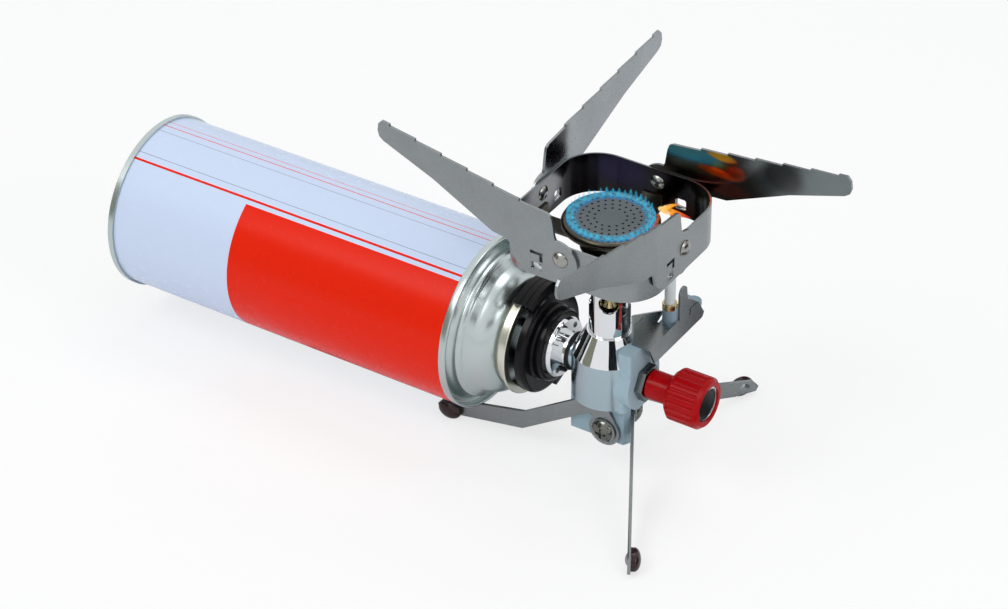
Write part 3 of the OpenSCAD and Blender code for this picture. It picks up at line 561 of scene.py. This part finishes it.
RIM_R, RIM_Z = 13.8, 102.7        # where the cap's rounded rim is drawn from
RIM_FLAT = 1.9                    # how far out its flat top goes
RIM_TOP = 104.6
OUTER_SKIN = 3.1                  # points past this belong to the rim's outer skin
CUP_FOOT, CUP_FOOT_NEW = 93.0, 95.2
CUP_SQUEEZE = 9.4 / 9.7
CAP_EDGE = 0.01585                # the cap's faces past this radius, in metres, take the dark cup finish


def lift(bm, below, by):
    bmesh.ops.translate(bm, vec=(0, 0, by / 1000), verts=[v for v in bm.verts
                                                          if v.co.z < below / 1000])


def squarer_rim(bm):
    """Brings the cap's rounded rim out to a flat top with a small round edge."""
    for v in bm.verts:
        r = math.hypot(v.co.x, v.co.y) * 1000 - RIM_R
        z = v.co.z * 1000 - RIM_Z
        if r <= 0 or z < -0.1:
            continue
        edge = 1.6 if math.hypot(r, z) > OUTER_SKIN else 0.8
        past = max(0.0, min(edge, r - RIM_FLAT))
        v.co.z = (RIM_TOP + math.sqrt(edge * edge - past * past)) / 1000


def shallower_cup(bm):
    """Lifts the cup's foot with the ring's straps, and its rim with the cap."""
    for v in bm.verts:
        v.co.z = (CUP_FOOT_NEW + (v.co.z * 1000 - CUP_FOOT) * CUP_SQUEEZE) / 1000


def second_finish(obj, mat, picks):
    """Gives the faces that a test picks a finish of their own."""
    obj.data.materials.append(mat)
    for face in obj.data.polygons:
        if picks(face):
            face.material_index = 1


def looks_inside(face):
    centre = Vector((face.center.x, face.center.y, 0))
    return face.normal.dot(centre.normalized()) < -0.3


second_finish(dress("arm_2", 0.15), arm_2_painted_sheet, looks_inside)
second_finish(dress("arm_3", 0.15), arm_3_painted_sheet, looks_inside)
second_finish(dress("ring", 0.12, reshape=lambda bm: lift(bm, RING_Z + 0.6, RING_LIFT)),
              ring_inside_painted_reflection, looks_inside)
dress("ring_spider", 0.15, reshape=lambda bm: lift(bm, 200, RING_LIFT - 0.1), mat=cup_steel)
dress("burner_cup", 0.15, reshape=shallower_cup)
second_finish(dress("burner_cap", 0.02, reshape=squarer_rim), cup_steel,
              lambda face: math.hypot(face.center.x, face.center.y) > CAP_EDGE)


# ---------------------------------------------------------------- flames

ELECTRODE_ANGLES = range(-32, 40, 8)


def flame_finish(name, stops, axis, low, high, alpha, glow=1.0):
    """Glowing gas: colours along an axis between two places, thin at its edges."""
    finish = Finish(name, Emission_Strength=glow, Base_Color=(0.02, 0.02, 0.02, 1),
                    Specular_IOR_Level=0.0)
    split = finish.add("ShaderNodeSeparateXYZ")
    finish.join(finish.add("ShaderNodeTexCoord"), "Object", split, "Vector")
    run = finish.add("ShaderNodeMapRange", From_Min=low / 1000, From_Max=high / 1000)
    finish.join(split, axis, run, "Value")
    tone = finish.ramp(run, stops)
    finish.join(tone, "Color", finish.shader, "Emission Color")
    thin = finish.add("ShaderNodeMapRange", To_Min=alpha, To_Max=0.0)
    finish.join(finish.add("ShaderNodeLayerWeight", Blend=0.35), "Facing", thin, "Value")
    uneven = finish.add("ShaderNodeMapRange", From_Min=0.35, From_Max=0.60, To_Min=0.35)
    finish.join(finish.noise(Scale=520.0, Detail=2.0), "Fac", uneven, "Value")
    part = finish.calc("MULTIPLY", thin.outputs["Result"], uneven.outputs["Result"])
    finish.feed(finish.shader.inputs["Alpha"],
                finish.calc("MULTIPLY", part, tone.outputs["Alpha"]))
    return finish.mat


blue_gas = flame_finish("blue_gas_flame", [
    (0.0, (0.02, 0.10, 0.60, 0.5)), (0.25, (0.02, 0.40, 0.80, 1.0)),
    (0.6, (0.06, 0.62, 0.82, 0.7)), (1.0, (0.05, 0.45, 0.75, 0.0))], "Z", 106.1, 109.6, 0.42)
veil_gas = flame_finish("thin_gas_flame", [
    (0.0, (0.02, 0.16, 0.70, 0.5)), (0.5, (0.04, 0.50, 0.85, 0.9)),
    (1.0, (0.14, 0.70, 0.86, 1.0))], "Z", 106.2, 107.4, 0.55)
orange_gas = flame_finish("orange_gas_flame", [
    (0.0, (1.0, 0.75, 0.45, 0.3)), (0.2, (1.0, 0.62, 0.20, 1.0)), (0.4, (1.0, 0.38, 0.02, 1.0)),
    (0.7, (0.9, 0.10, 0.01, 0.9)), (1.0, (0.5, 0.03, 0.01, 0.0))], "X", 10.0, 26.0, 1.0, glow=1.1)
red_gas = flame_finish("red_gas_flame", [
    (0.0, (0.9, 0.10, 0.02, 0.2)), (0.5, (1.0, 0.16, 0.02, 0.8)), (1.0, (1.0, 0.3, 0.1, 0.1))],
    "Z", 106.0, 109.0, 0.6)


def tongue(bm, base, tip, radius, sides=8):
    """A small pointed flame from its base to its tip."""
    base, tip = Vector(base), Vector(tip)
    way = tip - base
    turn = way.to_track_quat("Z", "Y").to_matrix().to_4x4()
    made = bmesh.ops.create_uvsphere(bm, u_segments=sides, v_segments=7, radius=1.0)
    for v in made["verts"]:
        h = (v.co.z + 1) / 2
        v.co.x *= radius * (1 - 0.75 * h)
        v.co.y *= radius * (1 - 0.75 * h)
        v.co.z = h * way.length
    bmesh.ops.transform(bm, matrix=Matrix.Translation(base) @ turn, verts=made["verts"])


def outwards(a, r, z):
    """The point at an angle in radians, a radius and a height round the burner axis."""
    return Vector((math.cos(a), math.sin(a), 0)) * r + Vector((0, 0, z))


def add_flame(bm, name, gas):
    add_piece(bm, name, "stove", gas, crease=180)


def flame_crown():
    """A tongue at each port of the outer rows, leaning a little outwards."""
    bm = bmesh.new()
    for row, count, height in ((15.1, 44, 2.9), (13.4, 34, 1.8)):
        for i in range(count):
            a = (i + 0.5) * 2 * math.pi / count
            tall = height * random.uniform(0.6, 1.2)
            lean = random.uniform(0.1, 0.6)
            tongue(bm, outwards(a, row, CAP_TOP), outwards(a, row + lean, CAP_TOP + tall), 0.95)
    add_flame(bm, "flame_crown", blue_gas)


def flame_veil():
    """The thin glow over the outer ports: a low open rib turned round the burner axis."""
    rib = ((11.6, 106.25), (12.3, 106.8), (13.4, 107.3), (14.6, 107.3), (15.6, 106.9),
           (16.0, 106.3))
    bm = spun([(r, 0, z) for r, z in rib], 96, (0, 0, 1))
    bmesh.ops.remove_doubles(bm, verts=bm.verts, dist=0.001)
    bmesh.ops.recalc_face_normals(bm, faces=bm.faces)
    add_flame(bm, "flame_veil", veil_gas)


def red_flames():
    """A few short red flames at the ports next to the electrode."""
    bm = bmesh.new()
    for angle in ELECTRODE_ANGLES:
        a = math.radians(angle)
        lean = random.uniform(0, 0.8)
        tongue(bm, outwards(a, 15.9, CAP_TOP - 0.3), outwards(a, 16.8 + lean, CAP_TOP + 1.6), 1.1)
    add_flame(bm, "red_flames", red_gas)


def flame_lick():
    """The yellow flame at the electrode that drifts to the ring's corner."""
    bm = bmesh.new()
    tongue(bm, (11.5, 12.6, 107.0), (25.5, 12.4, 107.6), 1.9, sides=12)
    tongue(bm, (12.5, 13.6, 106.6), (19.0, 15.0, 110.0), 1.2, sides=10)
    add_flame(bm, "flame_lick", orange_gas)


flame_crown()
flame_veil()
red_flames()
flame_lick()


# ---------------------------------------------------------------- camera, floor and light
# Places in this section are in metres, except the floor cards' radii

LIT_POINT = (0, 0, 0.05)
FLOOR_SIZE = 12
CARD_LIFT = 0.0006
CARD_DISTANCE = 0.75


def camera():
    """Looks down on the stove from its front right, over the knob."""
    az, el, roll = math.radians(33.32), math.radians(35.24), math.radians(-0.71)
    back = Vector((math.sin(az) * math.cos(el), -math.cos(az) * math.cos(el), math.sin(el)))
    right = (-back).cross(Vector((0, 0, 1))).normalized()
    up = right.cross(-back)
    x = right * math.cos(roll) + up * math.sin(roll)
    y = right * -math.sin(roll) + up * math.cos(roll)
    data = bpy.data.cameras.new("camera")
    data.sensor_width = 36
    data.lens = 112.485
    data.clip_start = 0.05
    data.clip_end = 50
    obj = put_in_scene("camera", data)
    turn = Matrix((x, y, back)).transposed().to_4x4()
    obj.matrix_world = Matrix.Translation((0.470735, -0.784624, 0.715312)) @ turn
    bpy.context.scene.camera = obj


def softbox(name, centre, size, power):
    data = bpy.data.lights.new(name, "AREA")
    data.shape = "RECTANGLE"
    data.size, data.size_y = size
    data.energy = power
    way = Vector(LIT_POINT) - Vector(centre)
    put_in_scene(name, data).matrix_world = (
        Matrix.Translation(centre) @ way.to_track_quat("-Z", "Y").to_matrix().to_4x4())


def flat_panel(name, centre, size, normal, mat):
    bm = bmesh.new()
    bmesh.ops.create_grid(bm, x_segments=1, y_segments=1, size=0.5)
    bmesh.ops.scale(bm, vec=(size[0], size[1], 1), verts=bm.verts)
    turn = Vector(normal).to_track_quat("Z", "Y").to_matrix().to_4x4()
    bmesh.ops.transform(bm, matrix=Matrix.Translation(centre) @ turn, verts=bm.verts)
    obj = mesh_object(bm, name, mat)
    return obj


def card_finish(name, colour):
    return Finish(name, Base_Color=(*colour, 1), Roughness=1.0, Specular_IOR_Level=0.0).mat


def only_in_gloss(obj):
    """A card that metal shows, and that neither lights nor shades anything."""
    obj.visible_camera = False
    obj.visible_diffuse = False
    obj.visible_shadow = False
    obj.visible_transmission = False


def floor_card(name, inner, outer, start, end, mat):
    """Part of a ring that lies on the floor round the burner axis."""
    bm = bmesh.new()
    ends = [bm.verts.new((r / 1000, 0, CARD_LIFT)) for r in (inner, outer)]
    bm.edges.new(ends)
    bmesh.ops.rotate(bm, cent=(0, 0, 0), matrix=Matrix.Rotation(math.radians(start), 3, "Z"),
                     verts=bm.verts)
    bmesh.ops.spin(bm, geom=bm.verts[:] + bm.edges[:], cent=(0, 0, 0), axis=(0, 0, 1),
                   angle=math.radians(end - start), steps=48)
    obj = mesh_object(bm, name, mat)
    only_in_gloss(obj)


def standing_card(name, angle, width, low, high, mat):
    """An upright card in a direction from +X, from one height to another."""
    c, s = point_on(angle)
    centre = (CARD_DISTANCE * c, CARD_DISTANCE * s, (low + high) / 2)
    only_in_gloss(flat_panel(name, centre, (width, high - low), (-c, -s, 0), mat))


def studio_floor():
    """A white floor that keeps its shadows, and looks whiter straight from the camera."""
    finish = Finish("pale_floor", Base_Color=(0.97, 0.97, 0.97, 1), Roughness=0.9,
                    Specular_IOR_Level=0.05)
    straight = finish.add("ShaderNodeLightPath").outputs["Is Camera Ray"]
    blend = finish.add("ShaderNodeMixShader")
    finish.feed(blend.inputs["Fac"], finish.calc("MULTIPLY", straight, 0.70))
    finish.join(finish.shader, "BSDF", blend, 1)
    finish.join(finish.add("ShaderNodeEmission", Strength=1.0), "Emission", blend, 2)
    finish.join(blend, "Shader", finish.tree.nodes["Material Output"], "Surface")
    flat_panel("floor", (0, 0, 0), (FLOOR_SIZE, FLOOR_SIZE), (0, 0, 1), finish.mat)


def reflected_cards():
    """Dark cards that give the bright metal something to mirror."""
    dark = card_finish("dark_card", (0.012, 0.014, 0.018))
    mid = card_finish("grey_card", (0.10, 0.11, 0.12))
    olive = card_finish("olive_card", (0.32, 0.32, 0.24))
    floor_card("floor_card_right", 72, 150, -28, 37, dark)
    floor_card("floor_card_far_right", 72, 131, 57, 95, dark)
    floor_card("floor_card_near", 36, 58, 70, 104, dark)
    floor_card("floor_card_back", 72, 131, 95, 187, mid)
    standing_card("card_right", 20, 0.75, 0.0, 0.30, dark)
    standing_card("card_left", 200, 0.34, 0.0, 0.50, dark)
    standing_card("card_near_left", 232, 0.36, 0.0, 0.48, olive)
    standing_card("card_front", 312, 0.36, 0.34, 0.50, dark)
    standing_card("card_back", 97, 0.6, 0.05, 0.55, dark)


def surroundings():
    """An even light for matt surfaces, and plain white where it is seen or mirrored."""
    world = bpy.data.worlds.new("studio")
    bpy.context.scene.world = world
    world.use_nodes = True
    tree = world.node_tree
    light = tree.nodes["Background"]
    light.inputs["Color"].default_value = (0.94, 0.97, 1.0, 1)
    light.inputs["Strength"].default_value = 0.50
    seen = tree.nodes.new("ShaderNodeBackground")
    seen.inputs["Color"].default_value = (1, 1, 1, 1)
    seen.inputs["Strength"].default_value = 1.0
    path = tree.nodes.new("ShaderNodeLightPath")
    either = path.outputs["Is Camera Ray"]
    for ray in ("Is Glossy Ray", "Is Transmission Ray"):
        pick = tree.nodes.new("ShaderNodeMath")
        pick.operation = "MAXIMUM"
        tree.links.new(either, pick.inputs[0])
        tree.links.new(path.outputs[ray], pick.inputs[1])
        either = pick.outputs[0]
    mix = tree.nodes.new("ShaderNodeMixShader")
    tree.links.new(either, mix.inputs[0])
    tree.links.new(light.outputs[0], mix.inputs[1])
    tree.links.new(seen.outputs[0], mix.inputs[2])
    tree.links.new(mix.outputs[0], tree.nodes["World Output"].inputs["Surface"])


camera()
studio_floor()
reflected_cards()
surroundings()
softbox("key", (-0.5, -0.9, 1.3), (0.8, 0.8), 8)
softbox("fill", (1.1, -0.2, 0.9), (0.7, 0.7), 3.2)
softbox("top", (0, 0.5, 1.5), (1.0, 0.6), 4.6)
bpy.context.scene.view_settings.view_transform = "Standard"
